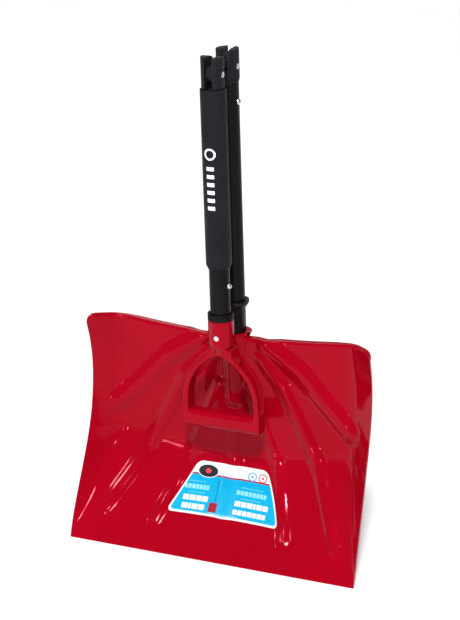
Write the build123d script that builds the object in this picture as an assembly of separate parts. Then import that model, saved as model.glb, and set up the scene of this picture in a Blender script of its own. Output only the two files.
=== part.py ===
"""Folding snow shovel, drawn folded and standing on its blade.

A moulded scoop blade carries the lower handle tube. A short link with two pivots joins the lower
tube to the upper tube, which hangs folded in front of it with the D-grip at its lower end. A lock
sleeve slides on the upper tube and covers both pivots when the handle is straight.

Frame: millimetres, origin at the middle of the blade's bottom edge, +X across the blade, +Y from
the open side of the scoop towards its back, +Z up along the handle.
"""
import math
import os

from build123d import *

# ---------------------------------------------------------------- driving dimensions
BLADE_WIDTH = 457.0            # across the bottom edge, an 18 inch blade
BLADE_WALL = 3.2
BLADE_TOP_Z = 331.0            # height of the two top corners
TUBE_OD = 30.0
TUBE_WALL = 1.5
LOWER_AXIS_Y = 122.5           # lower tube axis behind the middle of the bottom edge
PIVOT_SPACING = 51.0           # between the two fold pivots, and so between the two tubes
PIVOT_Z = 716.0                # both pivots, with the handle folded
KNUCKLE_OD = 32.8
SLEEVE_OD = 37.4
SLEEVE_BOTTOM_Z = 434.0
SLEEVE_TOP_Z = 696.0
GRIP_WIDTH = 121.0             # across the D-grip
GRIP_DEPTH = 25.0              # front to back

# ---------------------------------------------------------------- fits
RUNNING = 0.06                 # radial clearance of a turning pin
SLIDING = 0.10                 # radial clearance of a sliding sleeve
ASSEMBLY = 0.05                # radial clearance of a joint that is pushed together

# ---------------------------------------------------------------- blade
LIP_FRONT_Y = -2.5             # front of the bottom edge
FLOOR_RISE = 109.0             # how far the floor runs back from the lip
FLOOR_TOP_Z = 150.0            # height where the floor has turned upright
BACK_LEAN = 0.05               # backward lean of the upright part
WING_RISE = 91.5               # how far the side edge runs back from the lip
WING_DEEP_Z = 257.0            # height where the side edge is furthest back
WING_CURVE = 1.2
WING_TOP_ROLL = 15.0           # the side edge comes forward again towards its top corner
CREASE_X = 186.0               # half-width of the floor, up high
CREASE_SPREAD = 36.0           # the crease moves out by this much down to the lip
CREASE_RADIUS = 12.0
DISH_LOW = 0.58                # share of the wing height that the dished floor takes, low down
DISH_HIGH = 0.08               # and high up
DISH_FADE_Z = (60.0, 170.0)
WAIST = 5.5                    # how much each side draws in at mid-height
WAIST_Z = 190.0
SHOULDER = 2.5                 # and widens again towards the top corners
TOP_SAG = 19.0                 # the top edge is lower at the middle than at its corners
TOP_CORNER_R = 10.0
GRID_COLUMNS = 30              # facets across the blade's sheet, between its rounded corners
CORNER_COLUMNS = 3             # and at each corner
GRID_ROWS = 18                 # and up it
RIM_DEPTH = 8.0                # straight part of the flange along the top edge, towards the back
RIM_DEPTH_END = 1.5            # the same at the two corners
RIM_INNER_R = 0.8
RIM_FADE_X = (150.0, 205.0)    # where the flange dies away
RIM_BEND_STEPS = 3
STEEPEST = 0.5                 # least share of the wall that counts along Y

# Stiffening ribs pressed into the floor: path as (x, z) points, half-width, height.
CENTRE_RIB = ([(0, 188), (0, 28)], 16.0, 2.0)
SIDE_RIBS = [
    ([(24, 236), (48, 178), (72, 118), (104, 34)], 13.0, 5.0),
    ([(44, 284), (78, 243), (105, 190), (126, 150), (150, 104), (186, 42)], 16.0, 6.0),
    ([(52, 304), (105, 271), (158, 216), (184, 190)], 21.0, 6.0),
]

# ---------------------------------------------------------------- socket and adapter
SOCKET_WALL = 2.9
SOCKET_BOTTOM_Z = 196.0        # end of the socket's outside, a half ball
SOCKET_TOP_Z = 319.0
SOCKET_LIP_R = 24.0
SOCKET_LIP_Z = 307.0           # where the lip starts to flare
ADAPTER_BOTTOM_Z = 214.0
COLLAR_R = 20.8
COLLAR_Z = (356.0, 368.0)
COLLAR_RIM = 4.0
SHANK_STEP = 0.5               # shank radius over the tube's
SPIGOT_LENGTH = 34.0
SPIGOT_WALL = 2.5              # round the adapter's hollow
TUBE_SEAT = 2.0                # how deep the lower tube stands in the collar
SCREW_Z = 288.0                # socket screw, from the back
SCREW_R = 2.5
SCREW_HEAD_R = 4.6
SCREW_HEAD_H = 2.6
SCREW_TIP = 3.0                # how far a screw reaches past the wall it bites in

# ---------------------------------------------------------------- knuckles and link
KNUCKLE_TOP_GAP = 1.0          # between the two knuckles when the handle is straight
KNUCKLE_BODY_DROP = 24.5       # from the pivot down to the end of the knuckle's full diameter
KNUCKLE_TAPER = 7.0
KNUCKLE_TAPER_R = 14.6
PLUG_LENGTH = 20.0             # part of the knuckle inside the tube
SLOT_WIDTH = 11.6
SLOT_FLOOR_DROP = 20.0         # from the pivot down to the slot's floor, outer side
SLOT_STEP_DROP = 12.0          # the same on the inner side, where the folded link rests
LINK_THICKNESS = 11.0
LINK_END_R = 11.8
PIVOT_R = 4.0
RIVET_HEAD_R = 4.6
RIVET_HEAD_DEPTH = 1.4
RIVET_BORE_R = 2.4
RIVET_SINK = 0.8               # heads below the knuckle's surface
RETAINING_PIN_R = 2.0
RETAINING_PIN_DROP = 34.0      # below the pivot
PIN_SINK = 0.3                 # pin ends below the tube's surface

# ---------------------------------------------------------------- snap buttons
LOWER_BUTTON_Z = 665.0
UPPER_BUTTON_Z = 407.0
BUTTON_R = 4.5
BUTTON_DOME = 3.6
BUTTON_FLANGE_R = 5.6
BUTTON_FLANGE = (8.6, 10.4)    # from the tube axis
LEAF_THICKNESS = 0.7
LEAF_WIDTH = 7.0
LEAF_LENGTH = 46.0
LEAF_GAP = 0.6                 # between the far leg and the tube's wall

# ---------------------------------------------------------------- lock sleeve
SLEEVE_NECK = 6.0
NECK_WALL = 1.0
SLEEVE_GUIDE = 12.0            # length at the lower end that runs on the tube
SLEEVE_RIM_R = 1.2
MARK_DEPTH = 0.35
MARK_RING_Z = 606.0
MARK_RING_R = 8.5
MARK_BARS = 6
MARK_BAR_PITCH = 11.5
MARK_BAR = (11.0, 5.5)         # width and height of a bar
MARK_FIRST_BAR_Z = 585.0
MARK_RING_WIDTH = 2.6

# ---------------------------------------------------------------- D-grip and its collar
FERRULE_R = 19.0
FERRULE_TOP_Z = 356.0
FERRULE_BOTTOM_Z = 317.0       # where it starts to taper into the arms
UPPER_TUBE_BOTTOM_Z = 318.0
GRIP_COLLAR_Z = (356.0, 366.0)
GRIP_COLLAR_LIP = 1.2
GRIP_BOTTOM_Z = 184.0
GRIP_BAR_TOP_Z = 210.0
GRIP_BAR_R = 8.0
GRIP_FOOT = 8.0                # how far the arms reach into the hand bar
GRIP_WALL = 3.0                # inner wall of an arm
GRIP_FLANGE = 4.6              # front and back flange of an arm
GRIP_CHANNEL_Z = (214.0, 291.0)  # the arms' outer channels run between these
# Right half of the D, as (x, z) points: outer edge from the ferrule down, opening from its top.
GRIP_OUTER = [(18.5, 311), (24.5, 298), (33, 289.5), (44, 277.5), (54, 261), (59, 243), (60.5, 226)]
GRIP_OPENING = [(0, 302), (12.5, 297.5), (25, 288), (36, 276), (44, 263), (49, 249), (51.5, 234), (52, 222)]
GRIP_SCREW_Z = 331.0
GRIP_SCREW_R = 2.0
GRIP_SCREW_HEAD_R = 3.9
GRIP_SCREW_RECESS_R = 4.8
GRIP_SCREW_RECESS = 2.4

# ---------------------------------------------------------------- label
LABEL_TOP_Z = 112.0
LABEL_BOTTOM_Z = 45.0
LABEL_TOP_HALF = 56.0
LABEL_BOTTOM_HALF = 91.0
LABEL_CORNER_R = 8.0
LABEL_THICKNESS = 0.5
LABEL_LIFT = 0.02              # clear of the blade behind it
LABEL_GRID_ROWS = (2, 8)       # rows of the blade's grid that hold the label
LABEL_GRID_MARGIN = 11         # columns left out at each side

# ---------------------------------------------------------------- worked out
TUBE_R = TUBE_OD / 2
BORE_R = TUBE_R - TUBE_WALL
UPPER_AXIS_Y = LOWER_AXIS_Y - PIVOT_SPACING
KNUCKLE_R = KNUCKLE_OD / 2
SLEEVE_R = SLEEVE_OD / 2
EAR_HEIGHT = (PIVOT_SPACING - KNUCKLE_TOP_GAP) / 2
KNUCKLE_BOTTOM_Z = PIVOT_Z - KNUCKLE_BODY_DROP
SHANK_R = TUBE_R + SHANK_STEP   # adapter shank
SHANK_BORE_R = BORE_R - SPIGOT_WALL
SOCKET_R = SHANK_R + SOCKET_WALL
TUBE_SEAT_Z = COLLAR_Z[0] + TUBE_SEAT
RIVET_SEAT_X = KNUCKLE_R - RIVET_HEAD_DEPTH - RIVET_SINK
PIN_HALF_LENGTH = TUBE_R - PIN_SINK
LEAF_FAR_X = BORE_R - LEAF_GAP
SLEEVE_NECK_R = TUBE_R + NECK_WALL


# ---------------------------------------------------------------- helpers
def cylinder_z(radius, low, high, y=0.0, x=0.0):
    """Upright cylinder between two heights."""
    return Pos(x, y, (low + high) / 2) * Cylinder(radius, high - low)


def cone_z(low_radius, high_radius, low, high, y=0.0):
    """Upright cone between two heights."""
    return Pos(0, y, (low + high) / 2) * Cone(low_radius, high_radius, high - low)


def cylinder_x(radius, low, high, y, z):
    """Cylinder along X between two x values."""
    return Pos((low + high) / 2, y, z) * Rot(0, 90, 0) * Cylinder(radius, high - low)


def cylinder_y(radius, low, high, x, z):
    """Cylinder along Y between two y values."""
    return Pos(x, (low + high) / 2, z) * Rot(90, 0, 0) * Cylinder(radius, high - low)


def block(x_range, y_range, z_range):
    """Box between two corners."""
    ends = (x_range, y_range, z_range)
    middle = [(low + high) / 2 for low, high in ends]
    size = [high - low for low, high in ends]
    return Pos(*middle) * Box(*size)


def prism_y(sketch, low, high):
    """Extrude a sketch, drawn as (x, z), along Y."""
    plane = Plane((0, high, 0), x_dir=(1, 0, 0), z_dir=(0, -1, 0))
    return plane * extrude(sketch, high - low)


def prism_x(sketch, low, high):
    """Extrude a sketch, drawn as (y, z), along X."""
    plane = Plane((low, 0, 0), x_dir=(0, 1, 0), z_dir=(1, 0, 0))
    return plane * extrude(sketch, high - low)


def outline(*pieces):
    """Closed face from edges, in the sketch plane."""
    return make_face(Wire([edge for piece in pieces for edge in piece.edges()]))


def save(shape, name):
    """Write one node's solid."""
    export_step(shape, f"parts/{name}.step")


# ---------------------------------------------------------------- blade surface
def smooth_step(t):
    t = min(max(t, 0.0), 1.0)
    return t * t * (3.0 - 2.0 * t)


def floor_line(z):
    """y of the front face on the centre line."""
    turn = 1.0 - max(0.0, 1.0 - z / FLOOR_TOP_Z) ** 2
    return LIP_FRONT_Y + FLOOR_RISE * turn + BACK_LEAN * max(0.0, z - FLOOR_TOP_Z)


def side_edge(z):
    """y of the front face at the wing's outer edge."""
    if z < WING_DEEP_Z:
        share = max(z, 0.0) / WING_DEEP_Z
        return LIP_FRONT_Y + WING_RISE * math.sin(math.pi / 2 * share ** WING_CURVE)
    share = (z - WING_DEEP_Z) / (BLADE_TOP_Z - WING_DEEP_Z)
    return LIP_FRONT_Y + WING_RISE - WING_TOP_ROLL * share ** 2


def half_width(z):
    """Half-width of the blade at a height."""
    share = min(max(z, 0.0) / WAIST_Z, 2.0)
    return BLADE_WIDTH / 2 - WAIST * smooth_step(min(share, 1.0)) + SHOULDER * max(0.0, share - 1.0)


def crease_ramp(distance):
    """Zero inside the crease, straight outside it, with a rounded corner between."""
    if distance < -CREASE_RADIUS:
        return 0.0
    if distance > CREASE_RADIUS:
        return distance
    return (distance + CREASE_RADIUS) ** 2 / (4 * CREASE_RADIUS)


def distance_to_path(x, z, path):
    """Shortest distance from a point to a chain of straight stretches."""
    best = math.inf
    for (xa, za), (xb, zb) in zip(path, path[1:]):
        length_squared = (xb - xa) ** 2 + (zb - za) ** 2
        share = ((x - xa) * (xb - xa) + (z - za) * (zb - za)) / length_squared
        share = min(max(share, 0.0), 1.0)
        gap = math.hypot(x - xa - share * (xb - xa), z - za - share * (zb - za))
        best = min(best, gap)
    return best


def rib_height(x, z):
    """How far the ribs lift the front face."""
    lift = 0.0
    for path, half, height in [CENTRE_RIB] + SIDE_RIBS:
        share = distance_to_path(abs(x), z, path) / half
        if share < 1.0:
            lift = max(lift, height * (1.0 - share ** 2) ** 2)
    return lift


def front_face(x, z):
    """y of the blade's front face."""
    across = abs(x)
    crease = CREASE_X + CREASE_SPREAD * max(0.0, 1.0 - z / FLOOR_TOP_Z)
    wing = half_width(z) - crease
    fade = smooth_step((z - DISH_FADE_Z[0]) / (DISH_FADE_Z[1] - DISH_FADE_Z[0]))
    dish = DISH_HIGH + (DISH_LOW - DISH_HIGH) * (1.0 - fade)
    left_over = 1.0 - dish * (half_width(z) / crease) ** 2
    slope = left_over / max(crease_ramp(wing), CREASE_RADIUS / 2)
    forward = dish * (across / crease) ** 2 + slope * crease_ramp(across - crease)
    height = floor_line(z) - side_edge(z)
    return floor_line(z) - height * forward - rib_height(x, z)


def top_edge(x):
    """Height of the top edge: sagging towards the middle, with rounded corners."""
    reach = half_width(BLADE_TOP_Z)
    into_corner = abs(x) - (reach - TOP_CORNER_R)
    rounding = 0.0
    if into_corner > 0.0:
        rounding = TOP_CORNER_R - math.sqrt(max(0.0, TOP_CORNER_R ** 2 - into_corner ** 2))
    return BLADE_TOP_Z - TOP_SAG * (1.0 - (x / reach) ** 2) - rounding


def column_shares():
    """Places of the grid's columns, as shares of the half-width from -1 to 1."""
    reach = half_width(BLADE_TOP_Z)
    flat = reach - TOP_CORNER_R
    steps = GRID_COLUMNS // 2
    right = [flat * step / steps for step in range(1, steps + 1)]
    for step in range(1, CORNER_COLUMNS + 1):
        right.append(flat + TOP_CORNER_R * math.sin(math.pi / 2 * step / CORNER_COLUMNS))
    shares = [x / reach for x in right]
    return [-share for share in reversed(shares)] + [0.0] + shares


def surface_point(across, up, depth):
    """Point at a share of the width (-1 to 1) and height (0 to 1), at a depth behind the front."""
    x = across * half_width(up * BLADE_TOP_Z)
    z = up * (top_edge(across * half_width(BLADE_TOP_Z)) - BLADE_WALL - RIM_INNER_R)
    slope_x = (front_face(x + 1, z) - front_face(x - 1, z)) / 2
    slope_z = (front_face(x, z + 1) - front_face(x, z - 1)) / 2
    towards_back = 1.0 / math.hypot(1.0, slope_x, slope_z)
    return Vector(x, front_face(x, z) + depth / max(towards_back, STEEPEST), z)


def rim_point(across, turn, straight, depth):
    """Point on the top flange: turn of its bend (0 to 1), then share of its straight part."""
    edge = surface_point(across, 1.0, 0.0)
    back = surface_point(across, 1.0, BLADE_WALL)
    fade = smooth_step((abs(edge.X) - RIM_FADE_X[0]) / (RIM_FADE_X[1] - RIM_FADE_X[0]))
    run = RIM_DEPTH + (RIM_DEPTH_END - RIM_DEPTH) * fade
    radius = RIM_INNER_R + (back.Y - edge.Y) * (1.0 - depth / BLADE_WALL)
    angle = turn * math.pi / 2
    y = back.Y + RIM_INNER_R - radius * math.cos(angle) + straight * run
    return Vector(edge.X, y, edge.Z + radius * math.sin(angle))


def facets(a, b, c, d):
    """Two flat triangles across four corners."""
    return [Face(Wire.make_polygon([a, b, c])), Face(Wire.make_polygon([a, c, d]))]


def sheet_rows(depth):
    """Rows of points up the sheet and over the flange, at a depth behind the front."""
    shares = column_shares()
    rows = []
    for row in range(GRID_ROWS + 1):
        rows.append([surface_point(share, row / GRID_ROWS, depth) for share in shares])
    for step in range(1, RIM_BEND_STEPS + 1):
        rows.append([rim_point(share, step / RIM_BEND_STEPS, 0.0, depth) for share in shares])
    rows.append([rim_point(share, 1.0, 1.0, depth) for share in shares])
    return rows


def solid_between(front, back):
    """Closed solid between two grids of points with the same rows and columns."""
    rows, columns = len(front) - 1, len(front[0]) - 1
    faces = []
    for row in range(rows):
        for column in range(columns):
            for side in (front, back):
                faces += facets(side[row][column], side[row][column + 1],
                                side[row + 1][column + 1], side[row + 1][column])
        for column in (0, columns):
            faces += facets(front[row][column], back[row][column],
                            back[row + 1][column], front[row + 1][column])
    for column in range(columns):
        for row in (0, rows):
            faces += facets(front[row][column], back[row][column],
                            back[row][column + 1], front[row][column + 1])
    return Solid(Shell(faces))


# ---------------------------------------------------------------- blade section
def make_blade():
    """Moulded scoop with ribs, top flange and the socket for the handle."""
    blade = solid_between(sheet_rows(0.0), sheet_rows(BLADE_WALL))
    ball_z = SOCKET_BOTTOM_Z + SOCKET_R
    blade += cylinder_z(SOCKET_R, ball_z, SOCKET_TOP_Z, LOWER_AXIS_Y)
    blade += Pos(0, LOWER_AXIS_Y, ball_z) * Sphere(SOCKET_R)
    lip = cone_z(SOCKET_R - 1.0, SOCKET_LIP_R, SOCKET_LIP_Z, SOCKET_TOP_Z, LOWER_AXIS_Y)
    behind = (LOWER_AXIS_Y, LOWER_AXIS_Y + 2 * SOCKET_LIP_R)
    blade += lip & block((-SOCKET_LIP_R, SOCKET_LIP_R), behind, (SOCKET_LIP_Z, SOCKET_TOP_Z))
    bore = SHANK_R + ASSEMBLY
    blade -= cylinder_z(bore, ADAPTER_BOTTOM_Z, SOCKET_TOP_Z + SOCKET_WALL, LOWER_AXIS_Y)
    socket_back = LOWER_AXIS_Y + SOCKET_R
    blade -= cylinder_y(SCREW_R + ASSEMBLY, LOWER_AXIS_Y, socket_back + SOCKET_WALL, 0, SCREW_Z)
    return blade


def make_socket_screw():
    """Screw from the back through the socket into the adapter."""
    seat = LOWER_AXIS_Y + SOCKET_R
    tip = LOWER_AXIS_Y + SHANK_BORE_R - SCREW_TIP
    shank = cylinder_y(SCREW_R, tip, seat, 0, SCREW_Z)
    head = cylinder_y(SCREW_HEAD_R, seat, seat + SCREW_HEAD_H, 0, SCREW_Z)
    return shank + fillet(head.edges().group_by(Axis.Y)[-1], SCREW_HEAD_H / 2)


def make_adapter():
    """Hollow shank in the blade's socket, with a flared collar and a plug for the tube."""
    y = LOWER_AXIS_Y
    low, high = COLLAR_Z
    body = cylinder_z(SHANK_R, ADAPTER_BOTTOM_Z, low, y)
    body += cone_z(SHANK_R, COLLAR_R, low, high - COLLAR_RIM, y)
    body += cylinder_z(COLLAR_R, high - COLLAR_RIM, high, y)
    body -= cylinder_z(TUBE_R + ASSEMBLY, TUBE_SEAT_Z, high, y)
    body += cylinder_z(BORE_R - ASSEMBLY, low, TUBE_SEAT_Z + SPIGOT_LENGTH, y)
    body -= cylinder_z(SHANK_BORE_R, ADAPTER_BOTTOM_Z, TUBE_SEAT_Z + SPIGOT_LENGTH, y)
    body -= cylinder_y(SCREW_R + ASSEMBLY, y, y + TUBE_OD, 0, SCREW_Z)
    return body


def make_label():
    """Thin sticker over the dished floor, wider at its lower edge."""
    rows = sheet_rows(0.0)[LABEL_GRID_ROWS[0]:LABEL_GRID_ROWS[1]]
    skirt = LABEL_GRID_MARGIN
    rows = [row[skirt:-skirt] for row in rows]
    behind = [[point - Vector(0, LABEL_LIFT, 0) for point in row] for row in rows]
    front = [[point - Vector(0, LABEL_THICKNESS, 0) for point in row] for row in behind]
    corners = [(-LABEL_TOP_HALF, LABEL_TOP_Z), (LABEL_TOP_HALF, LABEL_TOP_Z),
               (LABEL_BOTTOM_HALF, LABEL_BOTTOM_Z), (-LABEL_BOTTOM_HALF, LABEL_BOTTOM_Z)]
    shape = make_face(Polyline(*corners, close=True))
    shape = fillet(shape.vertices(), LABEL_CORNER_R)
    return solid_between(front, behind) & prism_y(shape, -FLOOR_RISE, 2 * FLOOR_RISE)


# ---------------------------------------------------------------- tubes and knuckles
def make_tube(y, low, holes_x, holes_y):
    """Steel tube up to the knuckle, with radial holes on its +X side and right through Y."""
    tube = cylinder_z(TUBE_R, low, KNUCKLE_BOTTOM_Z, y) - cylinder_z(BORE_R, low, KNUCKLE_BOTTOM_Z, y)
    for radius, z in holes_x:
        tube -= cylinder_x(radius, 0, TUBE_OD, y, z)
    for radius, z in holes_y:
        tube -= cylinder_y(radius, y - TUBE_OD, y + TUBE_OD, 0, z)
    return tube


def make_knuckle(y, inner):
    """Forked end of a tube. inner is -1 where the other tube is in front, +1 where behind."""
    bottom = KNUCKLE_BOTTOM_Z
    body = cone_z(KNUCKLE_TAPER_R, KNUCKLE_R, bottom, bottom + KNUCKLE_TAPER, y)
    body += cylinder_z(KNUCKLE_R, bottom + KNUCKLE_TAPER, PIVOT_Z + EAR_HEIGHT, y)
    body += cylinder_z(BORE_R - ASSEMBLY, bottom - PLUG_LENGTH, bottom, y)
    top = PIVOT_Z + EAR_HEIGHT
    far = y + inner * EAR_HEIGHT
    corner = EAR_HEIGHT / math.sqrt(2)
    arc = ThreePointArc((far, PIVOT_Z), (y + inner * corner, PIVOT_Z + corner), (y, top))
    side = Polyline((y, top), (y, top + KNUCKLE_R), (far + inner, top + KNUCKLE_R),
                    (far + inner, PIVOT_Z), (far, PIVOT_Z))
    clear = outline(arc, side)
    body -= prism_x(clear, -KNUCKLE_R, KNUCKLE_R)
    half = SLOT_WIDTH / 2
    reach = sorted((y, y - inner * TUBE_OD))
    body -= block((-half, half), reach, (PIVOT_Z - SLOT_FLOOR_DROP, top))
    body -= block((-half, half), (y - TUBE_OD, y + TUBE_OD), (PIVOT_Z - SLOT_STEP_DROP, top))
    body -= cylinder_x(PIVOT_R + ASSEMBLY, -KNUCKLE_R, KNUCKLE_R, y, PIVOT_Z)
    for side_sign in (-1, 1):
        ends = sorted((side_sign * RIVET_SEAT_X, side_sign * KNUCKLE_R))
        body -= cylinder_x(RIVET_HEAD_R + 2 * ASSEMBLY, *ends, y, PIVOT_Z)
    pin_z = PIVOT_Z - RETAINING_PIN_DROP
    return body - cylinder_y(RETAINING_PIN_R + ASSEMBLY, y - TUBE_R, y + TUBE_R, 0, pin_z)


def make_rivet(y):
    """Hollow pivot rivet with a flush head at each end."""
    rivet = cylinder_x(PIVOT_R, -RIVET_SEAT_X, RIVET_SEAT_X, y, PIVOT_Z)
    for side in (-1, 1):
        ends = sorted((side * RIVET_SEAT_X, side * (RIVET_SEAT_X + RIVET_HEAD_DEPTH)))
        rivet += cylinder_x(RIVET_HEAD_R, *ends, y, PIVOT_Z)
    return rivet - cylinder_x(RIVET_BORE_R, -KNUCKLE_R, KNUCKLE_R, y, PIVOT_Z)


def make_retaining_pin(y):
    """Flush pin through the tube and the knuckle's plug."""
    z = PIVOT_Z - RETAINING_PIN_DROP
    return cylinder_y(RETAINING_PIN_R, y - PIN_HALF_LENGTH, y + PIN_HALF_LENGTH, 0, z)


def make_link():
    """Bar with round ends that turns on both pivots."""
    middle = (LOWER_AXIS_Y + UPPER_AXIS_Y) / 2
    bar = Pos(middle, PIVOT_Z) * SlotCenterToCenter(PIVOT_SPACING, 2 * LINK_END_R)
    link = prism_x(bar, -LINK_THICKNESS / 2, LINK_THICKNESS / 2)
    for y in (LOWER_AXIS_Y, UPPER_AXIS_Y):
        link -= cylinder_x(PIVOT_R + RUNNING, -LINK_THICKNESS, LINK_THICKNESS, y, PIVOT_Z)
    return link


# ---------------------------------------------------------------- snap buttons
def make_button(y, z):
    """Domed button in a hole on the tube's +X side, kept in by a flange inside the tube."""
    low, high = BUTTON_FLANGE
    tip = TUBE_R + BUTTON_DOME
    ball_r = (BUTTON_R ** 2 + BUTTON_DOME ** 2) / (2 * BUTTON_DOME)
    half_turn = math.asin(BUTTON_R / ball_r) / 2
    middle = (tip - ball_r + ball_r * math.cos(half_turn), ball_r * math.sin(half_turn))
    steps = Polyline((tip, 0), (low, 0), (low, BUTTON_FLANGE_R), (high, BUTTON_FLANGE_R),
                     (high, BUTTON_R), (TUBE_R, BUTTON_R))
    dome = ThreePointArc((TUBE_R, BUTTON_R), middle, (tip, 0))
    return Pos(0, y, z) * revolve(outline(steps, dome), Axis.X)


def make_leaf_spring(y, z):
    """Hairpin leaf inside the tube: one leg behind the button, the other on the far wall."""
    outer = (BUTTON_FLANGE[0] + LEAF_FAR_X) / 2
    middle = (BUTTON_FLANGE[0] - LEAF_FAR_X) / 2
    bend_z = z - LEAF_LENGTH
    loop = cylinder_y(outer, y - LEAF_WIDTH / 2, y + LEAF_WIDTH / 2, middle, bend_z)
    loop -= cylinder_y(outer - LEAF_THICKNESS, y - LEAF_WIDTH, y + LEAF_WIDTH, middle, bend_z)
    wide = (y - LEAF_WIDTH / 2, y + LEAF_WIDTH / 2)
    spring = loop & block((-TUBE_OD, TUBE_OD), wide, (bend_z - TUBE_OD, bend_z))
    legs = (bend_z, z + BUTTON_R)
    spring += block((BUTTON_FLANGE[0] - LEAF_THICKNESS, BUTTON_FLANGE[0]), wide, legs)
    return spring + block((-LEAF_FAR_X, -LEAF_FAR_X + LEAF_THICKNESS), wide, legs)


# ---------------------------------------------------------------- lock sleeve
def make_sleeve():
    """Sleeve whose lower end runs on the tube and whose bore clears the knuckles."""
    y = UPPER_AXIS_Y
    shoulder = SLEEVE_BOTTOM_Z + SLEEVE_NECK
    body = cylinder_z(SLEEVE_R, shoulder, SLEEVE_TOP_Z, y)
    body = fillet(body.edges().group_by(Axis.Z)[-1], SLEEVE_RIM_R)
    body += cone_z(SLEEVE_NECK_R, SLEEVE_R, SLEEVE_BOTTOM_Z, shoulder, y)
    body -= cylinder_z(TUBE_R + SLIDING, SLEEVE_BOTTOM_Z, shoulder + SLEEVE_GUIDE, y)
    return body - cylinder_z(KNUCKLE_R + SLIDING, SLEEVE_BOTTOM_Z + SLEEVE_GUIDE, SLEEVE_TOP_Z, y)


def make_sleeve_mark():
    """Plain printed mark on the front of the sleeve: a ring above a row of bars."""
    ring = Pos(0, MARK_RING_Z) * (Circle(MARK_RING_R) - Circle(MARK_RING_R - MARK_RING_WIDTH))
    y = UPPER_AXIS_Y
    low = MARK_FIRST_BAR_Z - MARK_BARS * MARK_BAR_PITCH
    high = MARK_RING_Z + 2 * MARK_RING_R
    skin = cylinder_z(SLEEVE_R + MARK_DEPTH, low, high, y) - cylinder_z(SLEEVE_R, low, high, y)
    front = (y - SLEEVE_OD, y)
    mark = [skin & prism_y(ring, *front)]
    for bar in range(MARK_BARS):
        z = MARK_FIRST_BAR_Z - bar * MARK_BAR_PITCH
        mark.append(skin & prism_y(Pos(0, z) * Rectangle(*MARK_BAR), *front))
    return Compound([solid for piece in mark for solid in piece.solids()])


# ---------------------------------------------------------------- D-grip
def make_grip_collar():
    """Ring that closes the gap above the ferrule."""
    low, high = GRIP_COLLAR_Z
    y = UPPER_AXIS_Y
    ring = cylinder_z(FERRULE_R, low, high, y)
    ring = fillet(ring.edges().group_by(Axis.Z)[-1], GRIP_COLLAR_LIP)
    ring -= cylinder_z(TUBE_R + ASSEMBLY, low, high, y)
    recess_r = (TUBE_R + FERRULE_R) / 2
    return ring - cylinder_z(recess_r, high - GRIP_COLLAR_LIP, high, y)


def mirrored(points):
    """The same points on the other side of X = 0."""
    return [(-x, z) for x, z in points]


def moved_out(points, distance):
    """The opening's points, each moved into the arm along the curve's normal."""
    moved = []
    for i, (x, z) in enumerate(points):
        x0, z0 = points[i - 1] if i else (-points[1][0], points[1][1])
        x1, z1 = points[min(i + 1, len(points) - 1)]
        length = math.hypot(x1 - x0, z1 - z0)
        moved.append((x + distance * (z0 - z1) / length, z + distance * (x1 - x0) / length))
    return moved


def arch(points, low):
    """Closed outline of the right half's points and their mirror image, down to a height."""
    foot_x, foot_z = points[-1]
    top = [Line(mirrored(points)[0], points[0])] if points[0][0] > 0 else []
    feet = Polyline((foot_x, foot_z), (foot_x, low), (-foot_x, low), (-foot_x, foot_z))
    return outline(*top, Spline(*points), feet, Spline(*mirrored(points)))


def make_grip():
    """D-grip: ferrule round the tube, two channel-section arms and a rounded hand bar."""
    y = UPPER_AXIS_Y
    half = GRIP_WIDTH / 2
    front, back = y - GRIP_DEPTH / 2, y + GRIP_DEPTH / 2
    opening = arch(GRIP_OPENING, GRIP_BOTTOM_Z)
    arms = prism_y(arch(GRIP_OUTER, GRIP_BAR_TOP_Z - GRIP_FOOT) - opening, front, back)
    low, high = GRIP_CHANNEL_Z
    band = Pos(0, (low + high) / 2) * Rectangle(2 * GRIP_WIDTH, high - low)
    inner_wall = arch(moved_out(GRIP_OPENING, GRIP_WALL), GRIP_BOTTOM_Z)
    for channel in (band - inner_wall).faces():
        arms -= prism_y(channel, front + GRIP_FLANGE, back - GRIP_FLANGE)
    grip = arms + cylinder_z(FERRULE_R, FERRULE_BOTTOM_Z, FERRULE_TOP_Z, y)
    grip += cone_z(GRIP_DEPTH / 2, FERRULE_R, GRIP_OPENING[0][1] + GRIP_WALL / 2, FERRULE_BOTTOM_Z, y)
    bar_height = GRIP_BAR_TOP_Z - GRIP_BOTTOM_Z
    section = RectangleRounded(GRIP_DEPTH, bar_height, GRIP_BAR_R)
    grip += prism_x(Pos(y, GRIP_BOTTOM_Z + bar_height / 2) * section, -half, half)
    grip -= cylinder_z(TUBE_R + ASSEMBLY, UPPER_TUBE_BOTTOM_Z, FERRULE_TOP_Z, y)
    face = y - FERRULE_R
    recess = (face - GRIP_SCREW_RECESS, face + GRIP_SCREW_RECESS)
    grip -= cylinder_y(GRIP_SCREW_RECESS_R, *recess, 0, GRIP_SCREW_Z)
    return grip - cylinder_y(GRIP_SCREW_R + ASSEMBLY, face, y, 0, GRIP_SCREW_Z)


def make_grip_screw():
    """Screw that holds the tube in the ferrule."""
    seat = UPPER_AXIS_Y - FERRULE_R + GRIP_SCREW_RECESS
    head = cylinder_y(GRIP_SCREW_HEAD_R, seat - SCREW_HEAD_H / 2, seat, 0, GRIP_SCREW_Z)
    return head + cylinder_y(GRIP_SCREW_R, seat, UPPER_AXIS_Y - BORE_R + SCREW_TIP, 0, GRIP_SCREW_Z)


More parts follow.
